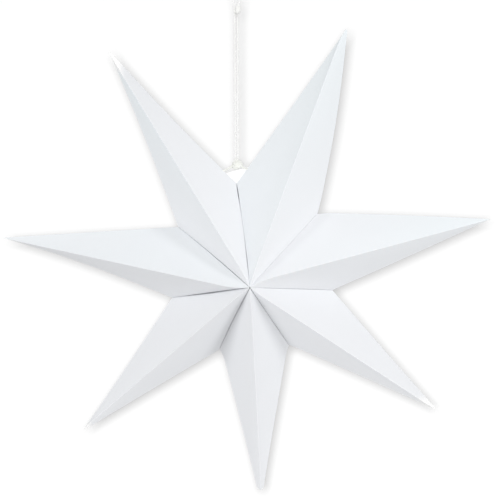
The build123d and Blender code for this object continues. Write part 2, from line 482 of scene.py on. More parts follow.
def panel_frame(card, index, side, tip, corners):
    """Directions of one panel and of the flap that its valley edge folds into."""
    centre = np.array(card.centre)
    edge = unit(corners[side + 1] - corners[side])
    toward = corners[side] - tip
    height_line = toward - edge * (toward @ edge)
    across = unit(height_line)
    normal = unit(np.cross(edge, across))
    valley_index = index if side < 2 else (index - 1) % COUNT
    seam_normal = unit(np.cross(valley_arm(card, valley_index), DEEP))
    if seam_normal @ tip_arm(card, index) > 0:
        seam_normal = -seam_normal
    inward = unit(np.cross(seam_normal, edge))
    facing_front = side in (1, 2)
    if (inward[1] > 0) != facing_front:
        inward = -inward
    middle = centre + tip_arm(card, index) / 2
    if normal @ (middle - tip) > 0:
        normal = -normal
    interior = math.pi - math.acos(np.clip(normal @ seam_normal, -1, 1))
    fold_width = POINTS[valley_index][5] / 1000
    setback = fold_width / (2 * math.sin(interior / 2))
    gap = min(VALLEY_GAPS[valley_index]) / 2000 / math.sin(interior)
    height = np.linalg.norm(height_line)
    length = np.linalg.norm(corners[side + 1] - corners[side])
    return {
        "edge": edge,
        "across": across,
        "normal": normal,
        "seam": seam_normal,
        "inward": inward,
        "setback": setback,
        "height": height,
        "gap": abs(gap),
        "length": length,
        "raised": side in (0, 2),
    }


def fold_room(panel, steps):
    """How far back from the seam each column starts to fold: less near the raised centre."""
    run = (steps if panel["raised"] else 1 - steps) * panel["length"]
    return panel["setback"] * np.clip(run / CROWDED_RUN, CROWDED_FOLD, 1.0)


def row_spots(tip, corners, side, shares, steps, setback):
    """The flat part of one panel: at each share of the way from the tip, the steps across it, and
    the ridge folds take at most 42 % of a row from either side."""
    start = tip + shares[..., None] * (corners[side] - tip)
    end = tip + shares[..., None] * (corners[side + 1] - tip)
    length = np.linalg.norm(end - start, axis=-1)
    back_off = np.minimum(setback / np.maximum(length, 1e-9), 0.42)
    return start + (end - start) * (back_off + steps * (1 - 2 * back_off))[..., None]


def flap_reach(card, panel, run):
    """How deep a flap goes at each distance from the raised centre: a trapeze with 45 degree ends."""
    rise = run - card.flap_start
    fall = (panel["length"] - run) * card.half_depth / card.valley_radius - card.thickness
    return np.clip(np.minimum(np.minimum(rise, fall), card.flap_width), LEAST_FLAP, None)


def folded_grid(card, index):
    """The outer face of one folded sheet as a grid: every row is the tip plus a share of the way to
    the base, every column runs round the four panels with a short curve at each fold, and past the
    valley edges the rows curve into the glue flaps."""
    tip, corners = point_corners(card, index)
    reach = np.linalg.norm(tip_arm(card, index))
    arm = tip_arm(card, index) / reach
    setback = card.ridge_fold * 0.75
    panels = [panel_frame(card, index, side, tip, corners) for side in range(4)]

    # The blunt end reaches on by a little under half of its width.
    blunt = TIP_ENDS[index][1] / 1000
    bulge = blunt / reach * np.linalg.norm(corners[1] - corners[3]) * 0.45

    def shares_over(lengths):
        """The rows' shares of these lengths along the arm, so that the first row is square to it."""
        first = (blunt + bulge) / np.asarray(lengths)
        return first + (1 - first) * eased(card.rows)[:, None]

    shares = shares_over([reach])[:, 0]
    curve = FOLD_STEPS[1:]
    fold_steps = FOLD_STEPS[1:-1]
    across_steps = eased(card.columns)

    def panel_columns(side):
        """All rows of one panel's flat part, from the tip to the free edge of its flap."""
        panel = panels[side]
        room = fold_room(panel, across_steps)
        ends = 1 - (room + panel["gap"]) / panel["height"]
        near, far = (tip - corners[side]) @ arm, (tip - corners[side + 1]) @ arm
        lengths = near + (far - near) * across_steps
        flat = row_spots(tip, corners, side, shares_over(lengths) * ends, across_steps, setback)
        last = flat[-1]
        edge_point = last + panel["across"] * room[:, None]
        inner_point = edge_point + panel["inward"] * room[:, None]
        turned = bend(last[None], edge_point[None], inner_point[None], curve[:, None])
        raised = corners[side] if panel["raised"] else corners[side + 1]
        run = np.abs((last - raised) @ panel["edge"])
        deep = flap_reach(card, panel, run)
        flap = inner_point[None] + panel["inward"] * (FLAP_STEPS[:, None] * deep)[..., None]
        return np.concatenate([flat, turned, flap])

    def corner_line(corner, before, after):
        """The sharp corner that two panels share, row by row, carried on past the base."""
        notch = corner in (1, 3)
        size = (before["setback"] + after["setback"]) / 2 * (1.0 if notch else CROWDED_FOLD)
        gap = (before["gap"] + after["gap"]) / 2
        ends = 1 - (size + gap) / ((before["height"] + after["height"]) / 2)
        down = shares_over([(tip - corners[corner]) @ arm]) * ends
        line = tip + down * (corners[corner] - tip)
        along = unit(corners[corner] - tip)
        inward = DEEP * (1 if corner == 2 else -1)
        if notch:
            inward = unit(np.array(card.centre) - corners[corner])
        edge_point = line[-1] + along * size
        turned = bend(line[-1], edge_point, edge_point + inward * size, curve)
        flap = turned[-1:] + inward * (FLAP_STEPS * LEAST_FLAP)[:, None]
        return np.concatenate([line, turned, flap])

    sides = [panel_columns(side) for side in range(4)]
    blocks = []
    tags = []
    for side in range(4):
        if side:
            corner = corner_line(side, panels[side - 1], panels[side])
            start, end = sides[side - 1][:, -1], sides[side][:, 0]
            blocks.append(bend(start[:, None], corner[:, None], end[:, None], fold_steps[None]))
            tags.append((side, None))
        blocks.append(sides[side])
        tags.append((side, across_steps))

    # The closing flap starts under the last panel and comes out round the back ridge. It ends 30 mm
    # from the tip, keeps a hem of 0.6 mm elsewhere and narrows over the last 12 % of the way.
    under = panels[3]["normal"] * -(card.thickness * 1.15)
    ridge = corner_line(0, panels[3], panels[0])
    flap_side = unit(corners[3] - corners[0])
    share_all = np.concatenate([shares, np.ones(len(ridge) - len(shares))])
    from_tip = share_all * np.linalg.norm(corners[0] - tip)
    from_centre = (1 - share_all) * np.linalg.norm(corners[0] - tip)
    width = np.minimum(from_centre - card.flap_start, from_tip - 0.030)
    width = np.clip(width, 0.0, card.closing_flap)
    narrow = np.minimum(1.0, share_all / 0.12)[:, None]
    width = np.where(share_all < 1, width, 0.0) + 0.0006 * narrow[:, 0]
    hem = ridge + flap_side * setback * narrow + under * narrow
    tucked = hem[:, None] + flap_side * (HEM_STEPS[:, None] * width[:, None, None])
    turn = (ridge + under * 0.25 * narrow)[:, None]
    over = bend(hem[:, None], turn, sides[0][:, :1], fold_steps[None])
    grid = np.concatenate([tucked, over, *blocks], axis=1)

    # The blunt tip: the first row shrinks by a quarter circle while it moves on by the bulge, and
    # rounds off on its way to an oval 0.62 times as deep as the row.
    heart = tip - arm * (blunt + bulge)
    turned = CAP_STEPS[:, None, None]
    spoke = grid[0] - heart
    spread = np.linalg.norm(spoke - DEEP * spoke[:, 1:2], axis=1).max()
    course = unit(spoke)
    sine = course[:, 1:2] / (0.62 * np.abs(spoke[:, 1]).max())
    cosine = np.linalg.norm(course - DEEP * course[:, 1:2], axis=1, keepdims=True) / spread
    oval = course / np.sqrt(sine**2 + cosine**2)
    spoke = spoke + (oval - spoke) * np.sqrt(turned)
    tip_rows = heart + spoke * np.sqrt(1 - turned**2) + arm * bulge * turned
    grid = np.concatenate([tip_rows, grid])
    full_shares = np.concatenate([np.full(len(CAP_STEPS), shares[0]), share_all])
    return grid, full_shares, panels, tags, tucked.shape[1] + len(fold_steps)


def column_weights(tags, lead):
    """For every column: the panel it lies on, how near it is to each outline, and its share across."""
    side_of = [np.zeros(lead, int)]
    share = [np.zeros(lead)]
    for side, steps in tags:
        if steps is None:
            fold = FOLD_STEPS[1:-1]
            side_of.append(np.where(fold < 0.5, side - 1, side))
            share.append(np.where(fold < 0.5, 1.0, 0.0))
        else:
            side_of.append(np.full(len(steps), side))
            share.append(steps)
    side_of = np.concatenate(side_of)
    share = np.concatenate(share)
    after = np.where(side_of == 0, share, np.where(side_of == 1, 1 - share, 0.0))
    before = np.where(side_of == 2, share, np.where(side_of == 3, 1 - share, 0.0))
    return side_of, share, after, before


def shape_by_hand(card, index, grid, shares, panels, columns):
    """Moves the even sheet as card really sits: outlines bow by sin(pi s), ridges run aside between
    their two ends, panels belly by sin(pi s) sin(pi t), slow waves run over all of it, the sheet dips
    beside its valleys, and everything dies out over the blunt end."""
    side_of, share, after, before = columns
    arm = unit(tip_arm(card, index))
    outward_after = np.cross(arm, DEEP)
    if outward_after @ valley_arm(card, index) < 0:
        outward_after = -outward_after
    along = np.sin(math.pi * shares)[:, None]
    bow_before, bow_after = OUTLINE_BOWS[index]
    moved = grid + outward_after * (bow_after / 1000 * along * after)[..., None]
    moved = moved - outward_after * (bow_before / 1000 * along * before)[..., None]
    ridge = np.where(np.isin(side_of, (1, 2)), 1 - after - before, 0)
    at_centre, at_tip = RIDGE_SHIFTS[index]
    ends = ramp(shares, 0, 0.08) * ramp(shares, 1, 0.90)
    shift = (at_tip + (at_centre - at_tip) * shares) * ends * (2 - ends) / 1000
    moved = moved + outward_after * (shift[:, None] * ridge)[..., None]
    normals = np.stack([panel["normal"] for panel in panels])[side_of]
    belly = np.array(PANEL_BELLIES[index])[side_of] / 1000
    across = np.sin(math.pi * share)
    first = (grid - np.array(card.centre)) @ arm
    second = (grid - np.array(card.centre)) @ unit(np.cross(arm, DEEP)) + grid[..., 1]
    waves = slow_waves(first, second, WAVE_SEED + index) * card.waviness
    lift = belly * across * along + waves * (0.25 + 0.75 * across) * along
    dip = valley_roll_and_shade(index, shares, panels, columns)[0]
    shift = moved + normals * lift[..., None] + DEEP * dip[..., None] - grid
    capped = len(CAP_STEPS)
    shift[:capped] = shift[capped] * np.sqrt(1 - CAP_STEPS**2)[:, None, None]
    return grid + shift


def valley_roll_and_shade(index, shares, panels, columns):
    """How far (m) the sheet dips beside its valleys, and how much painted shade it gets there: the square
    of what is left of the roll's width, only on the front panels, and nothing at the ridge. The dip also
    ends at the outline."""
    side_of, _, after, before = columns
    height = np.array([panel["height"] for panel in panels])[side_of]
    own, next_one = VALLEY_ROLLS_AND_SHADE[index][0], VALLEY_ROLLS_AND_SHADE[index - 1][1]
    depth, painted_grey, most, width, kept = np.array([own, own, next_one, next_one])[side_of].T
    width = width * np.maximum(kept + (1 - kept) * (after + before), 0.1) / 1000
    near = np.clip(1 - (1 - shares)[:, None] * height / width, 0, 1) ** 2
    away = np.clip((after + before) * 4, 0, 1)
    near = near * away * away * (3 - 2 * away) * np.isin(side_of, (1, 2))
    inside_edge = np.clip((1 - after - before) * 9, 0, 1)
    return near * depth * inside_edge / 1000, np.minimum(near * painted_grey, most)


def sheet_normals(grid):
    """Outward normals of a grid from the cross product of its column and row steps."""
    return unit(np.cross(np.gradient(grid, axis=1), np.gradient(grid, axis=0)))


def keep_in_wedge(card, index, points, panels):
    """Moves what would cross a seam back to it, less half of the gap that is open there in front, and
    clears the open middle of the star."""
    centre = np.array(card.centre)
    for side, valley in ((0, index), (2, (index - 1) % COUNT)):
        normal = panels[side]["seam"]
        arm = valley_arm(card, valley)
        share = (points - centre) @ unit(arm) / np.linalg.norm(arm)
        gap = np.interp(share, np.linspace(0, 1, 5), VALLEY_GAPS[valley]) / 2000
        closes_over = TIED_GAP_DEPTH if valley == TIED_SEAM else GLUED_GAP_DEPTH
        front = np.clip(-points[..., 1] / closes_over, 0, 1)
        past = (points - centre) @ normal + SEAM_CLEARANCE + gap * front
        points = points - normal * np.maximum(past, 0)[..., None]
    flat = points - centre
    flat = flat - DEEP * flat[..., 1:2]
    short = np.maximum(card.centre_clip - np.linalg.norm(flat, axis=-1), 0)
    return points + unit(tip_arm(card, index)) * short[..., None]


def pull_seams(card, index, points):
    """Moves what lies near a seam by (1 - distance / PULL_WIDTH)^2 of that seam's pulls: the one at
    the notch grows with the share of the way, whole from 5/9 on, and the one at the middle follows
    sin(pi share)."""
    for valley in (index, (index - 1) % COUNT):
        arm = valley_arm(card, valley)
        away = points - np.array(card.centre)
        share = np.clip(away @ arm / (arm @ arm), 0, 1)
        away = away - share[..., None] * arm
        away = np.linalg.norm(away - DEEP * away[..., 1:2], axis=-1)
        across, up, middle = np.array(SEAM_PULLS[valley]) / 1000
        clockwise = unit(np.cross(DEEP, arm)) * middle
        near = np.clip(1 - away / PULL_WIDTH, 0, 1)[..., None] ** 2
        at_notch = np.clip(share * 1.8, 0, 1)[..., None] * np.array([across, 0.0, up])
        points = points + near * (at_notch + np.sin(math.pi * share)[..., None] * clockwise)
    return points


def over_front(values, shares, side_of):
    """Values that run evenly from the centre end to the tip end of the panel after the ridge, and of
    the one before it, and are zero on the back panels."""
    after_centre, after_tip, before_centre, before_tip = values
    after = after_tip + (after_centre - after_tip) * shares[:, None]
    before = before_tip + (before_centre - before_tip) * shares[:, None]
    return after * (side_of == 1) + before * (side_of == 2)


def folded_point(card, index, material):
    """One closed sheet: the outer grid, the same grid a card's thickness further in, and four rims."""
    grid, shares, panels, tags, lead = folded_grid(card, index)
    columns = column_weights(tags, lead)
    outer = shape_by_hand(card, index, grid, shares, panels, columns)
    outer = keep_in_wedge(card, index, outer, panels)
    normals = sheet_normals(outer)
    thickness = np.minimum(card.thickness, shares * TIP_THINNING)[:, None, None]
    inner = keep_in_wedge(card, index, outer - normals * thickness, panels)
    outer, inner = pull_seams(card, index, outer), pull_seams(card, index, inner)
    rows, width = outer.shape[:2]
    points = np.concatenate([outer.reshape(-1, 3), inner.reshape(-1, 3)])
    block = rows * width
    outer_at = np.arange(block).reshape(rows, width)
    inner_at = outer_at + block
    faces = np.concatenate([
        grid_faces(rows, width),
        grid_faces(rows, width, block, turned=True),
        strip_faces(outer_at[0], inner_at[0]),
        strip_faces(outer_at[-1], inner_at[-1])[:, ::-1],
        strip_faces(outer_at[:, 0], inner_at[:, 0])[:, ::-1],
        strip_faces(outer_at[:, -1], inner_at[:, -1]),
    ])
    side_of, share = columns[:2]
    steps = np.linalg.norm(np.diff(outer, axis=1), axis=-1)
    fold = np.minimum(share, 1 - share) * steps.sum(1)[:, None] / 4 * 1000
    # Painted shade beside the valleys, where shade falls into the fold.
    painted_valley_shade = valley_roll_and_shade(index, shares, panels, columns)[1]

    # The tip is painted white, a painted highlight, over the first 60 % of its bright length, and fades over
    # the rest.
    reach = np.linalg.norm(tip_arm(card, index))
    bright = max(TIP_ENDS[index][2] / 1000 / reach, 1e-6)
    painted_tip_highlight = ramp(shares - shares[0], bright, bright * 0.6)
    painted_tip_highlight = np.repeat(painted_tip_highlight[:, None], width, axis=1)
    walked = np.concatenate([np.zeros((rows, 1)), steps.cumsum(1)], axis=1)
    down = np.repeat((shares * 0.25)[:, None], width, axis=1)
    uv = np.stack([down, walked], axis=-1).reshape(-1, 2)
    # Painted light and shade on the front panels.
    tone = 1 + over_front(PANEL_PAINTED_LIGHT[index], shares, side_of)
    cool = over_front(PANEL_COOLNESS[index], shares, side_of)
    values = {"fold_mm": fold, "painted_valley_shade": painted_valley_shade, "painted_tip_highlight": painted_tip_highlight, "tone": tone, "cool": cool}
    attributes = {label: np.tile(value.ravel(), 2) for label, value in values.items()}
    attributes["inside"] = np.repeat([0.0, 1.0], block)
    name = POINTS[index][0] + "_card"
    return make_object(name, points, faces, attributes, np.tile(uv, (2, 1)), material)


# Cord and knots


def route_line():
    """The cord's centreline: a smooth spline with the route's points as its control points."""
    curve = bpy.data.curves.new("cord_route", "CURVE")
    curve.dimensions = "3D"
    curve.resolution_u = 48
    spline = curve.splines.new("NURBS")
    spline.points.add(len(CORD_ROUTE) - 1)
    route = np.array(CORD_ROUTE) / 1000
    control = np.zeros((len(route), 4), np.float32)
    control[:, 0], control[:, 2], control[:, 3] = route[:, 0], route[:, 1], 1
    spline.points.foreach_set("co", control.ravel())
    spline.order_u = 3
    spline.use_endpoint_u = True
    carrier = bpy.data.objects.new("cord_route", curve)
    mesh = bpy.data.meshes.new_from_object(carrier)
    line = np.empty(len(mesh.vertices) * 3, np.float32)
    mesh.vertices.foreach_get("co", line)
    bpy.data.objects.remove(carrier)
    bpy.data.curves.remove(curve)
    bpy.data.meshes.remove(mesh)
    return line.reshape(-1, 3).astype(float)


def even_steps(line, step):
    """The same line with points a step apart, and the distance run to each."""
    run = np.concatenate([[0], np.linalg.norm(np.diff(line, axis=0), axis=1).cumsum()])
    at = np.linspace(0, run[-1], max(int(run[-1] / step), 8) + 1)
    return np.stack([np.interp(at, run, line[:, axis]) for axis in range(3)], axis=1), at


def tube_faces(rows, ring, first):
    """Quads round a tube of closed rings, with a strip of quads over each end."""
    at = first + np.arange(rows * ring).reshape(rows, ring)
    on = np.roll(at, -1, axis=1)
    sides = np.stack([at[:-1], on[:-1], on[1:], at[1:]], axis=-1)
    half = np.arange(ring // 2 - 1)
    over = np.stack([half, half + 1, ring - 2 - half, ring - 1 - half], axis=-1)
    return np.concatenate([sides.reshape(-1, 4), at[0][over][:, ::-1], at[-1][over]])


def knot_core(centre, width, height, lean):
    """The strands inside a knot as one smooth body: radius (0.86 - 0.2 sin f) cos f, height sin f, so
    fuller at its foot, with the same slant and lean as the turns round it."""
    rows, ring = 17, 24
    turn, rise = np.arange(ring) * 2 * math.pi / ring, np.linspace(-math.pi / 2, math.pi / 2, rows)
    round_it = ((np.cos(rise) + 0.002) * (0.86 - 0.2 * np.sin(rise)) * width / 2)[:, None]
    x, y = round_it * np.cos(turn), round_it * np.sin(turn)
    z = height / 2 * np.sin(rise)[:, None] + KNOT_SLANT * x
    x = x - lean * np.sin(rise)[:, None] * width * KNOT_LEAN / 2
    return np.stack([x, y, z], axis=-1).reshape(-1, 3) + np.array(centre), tube_faces(rows, ring, 0)


def twisted_yarns(line, run, sideways, cord, fullness):
    """Each yarn is a tube whose middle circles the line once in every lay: the line plus the yarn's
    offset times (sideways cos a + up sin a), where a is the distance run over the lay. Two sine waves
    of 3.1 and 11.3 mm make it uneven by up to 9 %. Fullness is the share of the cord's thickness that
    is left at each step."""
    tangent = unit(np.gradient(line, axis=0))
    first = unit(sideways - tangent * (tangent @ sideways)[:, None])
    second = np.cross(tangent, first)
    turns = max(round(run[-1] / cord.lay), 1)
    yarn = cord.diameter * YARN_RADIUS
    offset = (cord.diameter / 2 - yarn) * fullness[:, None]
    ring = np.arange(YARN_SIDES) * 2 * math.pi / YARN_SIDES
    wave = run * 2 * math.pi
    points, faces = [], []
    for ply in range(cord.plies):
        angle = (run / run[-1] * turns + ply / cord.plies) * 2 * math.pi
        out = first * np.cos(angle)[:, None] + second * np.sin(angle)[:, None]
        side = np.cross(tangent, out)
        fuzz = 1 + 0.05 * np.sin(wave / 0.0031 + ply * 2.1) + 0.04 * np.sin(wave / 0.0113 + ply)
        radius = yarn * fuzz * fullness
        radius[[0, -1]] *= 0.02
        round_it = out[:, None] * np.cos(ring)[:, None] + side[:, None] * np.sin(ring)[:, None]
        tube = (line + out * offset)[:, None] + radius[:, None, None] * round_it
        points.append(tube.reshape(-1, 3))
        faces.append(tube_faces(len(run), YARN_SIDES, tube[..., 0].size * ply))
    phase = np.tile(ring / (2 * math.pi), len(run) * cord.plies)
    uv = np.stack([np.tile(np.repeat(run, YARN_SIDES), cord.plies), phase * 0.004], axis=1)
    return np.concatenate(points), np.concatenate(faces), (1 - np.cos(phase * 2 * math.pi)) / 2, uv


def knot_path(centre, width, height, diameter, lean):
    """A strand wound down round the cord in turns 0.8 of its diameter apart: its radius grows a little
    toward the foot and starts and ends inside the knot, over not quite half a turn, its height falls
    evenly, and it leans to one side."""
    turns = max(round((height - diameter) / (diameter * 0.80)), 2)
    share = np.linspace(0, 1, 120 * turns)
    angle = share * turns * 2 * math.pi + 0.6
    tucked = np.clip(np.minimum(share, 1 - share) * turns * 2.2, 0, 1)
    tucked = tucked * tucked * (3 - 2 * tucked)
    outer = (width / 2 - diameter / 2) * (0.72 + 0.36 * share)
    radius = outer * tucked + diameter * 0.35 * (1 - tucked)
    x = radius * np.cos(angle)
    rise = (height - diameter) / 2 * (1 - 2 * share) + KNOT_SLANT * x
    side = lean * (share - 0.5) * width * KNOT_LEAN
    line = np.stack([x + side, radius * np.sin(angle), rise], axis=1)
    return line + np.array(centre)


def tied_knot(cord, centre, width, height, lean):
    """A knot's wound strand and core as one mesh, with how far out each point lies, which sets its painted
    shade, and its UV.
    """
    steps, run = even_steps(knot_path(centre, width, height, cord.diameter, lean), CORD_STEP)
    points, faces, valley, uv = twisted_yarns(steps, run, UPWARD, cord, np.ones(len(run)))
    core, core_faces = knot_core(centre, width * 1.03, height * 0.98, lean)
    faces = np.concatenate([faces, core_faces + len(points)])
    points = np.concatenate([points, core])
    uv = np.concatenate([uv, (core[:, :2] - core[0, :2]) * 0.5])
    out = np.concatenate([1 - YARN_SHADE * valley, np.full(len(core), CORE_SHADE)])
    return points, faces, out, uv


# Materials


class Tree:
    """A node tree with short ways to add nodes. A value that is a socket is linked, others are set."""

    def __init__(self, owner):
        self.nodes, self.links = owner.nodes, owner.links

    def feed(self, socket, value):
        """Gives a socket its value."""
        if isinstance(value, bpy.types.NodeSocket):
            self.links.new(value, socket)
        elif socket.type == "RGBA":
            socket.default_value = (*value, 1.0)
        else:
            socket.default_value = value

    def math(self, operation, first, second, clamp=False):
        """A maths node."""
        node = self.nodes.new("ShaderNodeMath")
        node.operation = operation
        node.use_clamp = clamp
        self.feed(node.inputs[0], first)
        self.feed(node.inputs[1], second)
        return node.outputs[0]

    def weighted(self, first, share, second, other):
        """first times share plus second times other, or plus other alone where second is None."""
        right = other if second is None else self.math("MULTIPLY", second, other)
        return self.math("ADD", self.math("MULTIPLY", first, share), right)

    def vector(self, operation, first, second, output="Vector"):
        """A vector maths node."""
        node = self.nodes.new("ShaderNodeVectorMath")
        node.operation = operation
        self.feed(node.inputs[0], first)
        self.feed(node.inputs[1], second)
        return node.outputs[output]

    def noise(self, vector, scale, detail, roughness=0.55):
        """A noise texture on these coordinates."""
        node = self.nodes.new("ShaderNodeTexNoise")
        self.feed(node.inputs["Vector"], vector)
        self.feed(node.inputs["Scale"], scale)
        node.inputs["Detail"].default_value = detail
        node.inputs["Roughness"].default_value = roughness
        return node.outputs["Fac"]

    def mix(self, share, first, second):
        """A mix of two colours."""
        node = self.nodes.new("ShaderNodeMix")
        node.data_type = "RGBA"
        node.clamp_factor = True
        for slot, value in ((0, share), (6, first), (7, second)):
            self.feed(node.inputs[slot], value)
        return node.outputs[2]

    def group(self, name, **values):
        """A node group with its inputs, and its outputs."""
        node = self.nodes.new("ShaderNodeGroup")
        node.node_tree = bpy.data.node_groups[name]
        for label, value in values.items():
            self.feed(node.inputs[label], value)
        return node.outputs

    def attribute(self, label):
        """A float attribute of the piece."""
        node = self.nodes.new("ShaderNodeAttribute")
        node.attribute_name = label
        return node.outputs["Fac"]


def new_group(name, inputs, outputs):
    """A shader node group with these sockets: its tree, what it is given and what it gives."""
    group = bpy.data.node_groups.new(name, "ShaderNodeTree")
    for label, kind in inputs.items():
        group.interface.new_socket(label, in_out="INPUT", socket_type=kind)
    for label in outputs:
        group.interface.new_socket(label, in_out="OUTPUT", socket_type="NodeSocketFloat")
    tree = Tree(group)
    given, result = tree.nodes.new("NodeGroupInput"), tree.nodes.new("NodeGroupOutput")
    return tree, given.outputs, result.inputs


def fibre_group():
    """Fibre tone: fine grain, short fibres and slow clouds on the given coordinates."""
    kinds = {"Vector": "NodeSocketVector", "Grain": "NodeSocketFloat", "Clouds": "NodeSocketFloat"}
    tree, given, result = new_group("fibre_tone", kinds, ("Tone", "Height"))
    stretch = tree.nodes.new("ShaderNodeMapping")
    stretch.inputs["Scale"].default_value = (1.0, 0.22, 0.6)
    stretch.inputs["Rotation"].default_value = (0.3, 0.5, 0.9)
    tree.feed(stretch.inputs["Vector"], given["Vector"])
    finer = tree.math("MULTIPLY", given["Grain"], 1.7)
    grain = tree.noise(given["Vector"], given["Grain"], 3.0, 0.6)
    fibres = tree.noise(stretch.outputs["Vector"], finer, 2.0, 0.5)
    clouds = tree.noise(given["Vector"], given["Clouds"], 2.0, 0.5)
    fine = tree.weighted(grain, 0.5, fibres, 0.5)
    tree.feed(result["Tone"], tree.weighted(fine, 0.55, clouds, 0.45))
    tree.feed(result["Height"], fine)


def near_group():
    """Near a line: 1 at distance 0, falling to 0 at the given width, broken up by noise."""
    kinds = dict.fromkeys(("Distance", "Width", "Breaks"), "NodeSocketFloat")
    tree, given, result = new_group("worn_line", {**kinds, "Vector": "NodeSocketVector"}, ("Mask",))
    share = tree.math("DIVIDE", given["Distance"], given["Width"])
    soft = tree.math("POWER", tree.math("SUBTRACT", 1.0, share, clamp=True), 1.6)
    broken = tree.noise(given["Vector"], given["Breaks"], 3.0, 0.6)
    ragged = tree.math("MULTIPLY", soft, tree.math("ADD", broken, 0.35))
    tree.feed(result["Mask"], tree.math("MINIMUM", ragged, 1.0))


def shade(colour, factor):
    """The same colour, lighter or darker."""
    return tuple(min(channel * factor, 1.0) for channel in colour)


def new_material(name):
    """A material and its tree."""
    material = bpy.data.materials.new(name)
    material.use_nodes = True
    return material, Tree(material.node_tree)


def finish_matt(tree, colour, height, rough, rougher, gloss):
    """Feeds the shader: this colour, roughness that follows the fibres, a weak gloss, a fine bump."""
    shader = tree.nodes["Principled BSDF"]
    tree.feed(shader.inputs["Base Color"], colour)
    tree.feed(shader.inputs["Roughness"], tree.weighted(height, rougher, None, rough))
    shader.inputs["Specular IOR Level"].default_value = gloss
    bump = tree.nodes.new("ShaderNodeBump")
    bump.inputs["Strength"].default_value = 0.35
    bump.inputs["Distance"].default_value = 0.00004
    tree.feed(bump.inputs["Height"], height)
    tree.feed(shader.inputs["Normal"], bump.outputs["Normal"])
    return shader


def card_material(card):
    """Matt white card: fibre tone, rubbed ridges, painted shade in the valleys, painted light and shade on
    the front panels, cooler panels, a rawer inside and tips painted white as a painted highlight."""
    material, tree = new_material("white_card")
    where = tree.nodes.new("ShaderNodeTexCoord").outputs["Object"]
    white = card.card_colour
    tone = tree.group("fibre_tone", Vector=where, Grain=1400.0, Clouds=26.0)
    near = tree.attribute("fold_mm")
    ridge = tree.group("worn_line", Distance=near, Width=1.6, Vector=where, Breaks=420.0)
    colour = tree.mix(tone["Tone"], shade(white, 0.972), shade(white, 1.024))
    colour = tree.mix(tree.math("MULTIPLY", ridge["Mask"], 0.27), colour, shade(white, 1.04))
    # Painted shade: the card is greyed beside the valleys, where shade falls into the fold.
    colour = tree.mix(tree.attribute("painted_valley_shade"), colour, shade(white, 0.70))
    # Painted light and shade: each front panel is painted lighter or darker.
    colour = tree.vector("MULTIPLY", colour, tree.attribute("tone"))
    cooler = tree.vector("MULTIPLY", colour, (0.970, 1.012, 1.014))
    colour = tree.mix(tree.attribute("cool"), colour, cooler)
    colour = tree.mix(tree.attribute("inside"), colour, card.core_colour)
    # Painted highlight: the tips that catch the light are painted white.
    colour = tree.mix(tree.attribute("painted_tip_highlight"), colour, (1.0, 1.0, 1.0))
    finish_matt(tree, colour, tone["Height"], 0.66, 0.16, 0.25)
    return material


def cord_material(cord):
    """Undyed cotton yarn: fibre tone, painted shade where the yarns lie against each other, and knots and
    strings that are greyer, partly painted shade.
    """
    material, tree = new_material("cotton_yarn")
    where = tree.nodes.new("ShaderNodeTexCoord").outputs["Object"]
    cotton = cord.yarn_colour
    tone = tree.group("fibre_tone", Vector=where, Grain=5200.0, Clouds=240.0)
    out = tree.attribute("out")
    crevice_shade = tree.group("worn_line", Distance=out, Width=0.75, Vector=where, Breaks=1500.0)
    colour = tree.mix(tone["Tone"], shade(cotton, 0.96), shade(cotton, 1.03))
    # Painted shade where the yarns lie against each other, between the strands and under the loop knot.
    colour = tree.mix(tree.math("MULTIPLY", crevice_shade["Mask"], 0.7), colour, shade(cotton, 0.72))
    # Greyer cotton and painted shade on the knots and on the strings below the notch knot.
    colour = tree.mix(tree.attribute("handled_and_shaded"), colour, cord.handled_and_shaded_colour)
    shader = finish_matt(tree, colour, tone["Height"], 0.78, 0.15, 0.2)
    shader.inputs["Sheen Weight"].default_value = 0.15
    return material


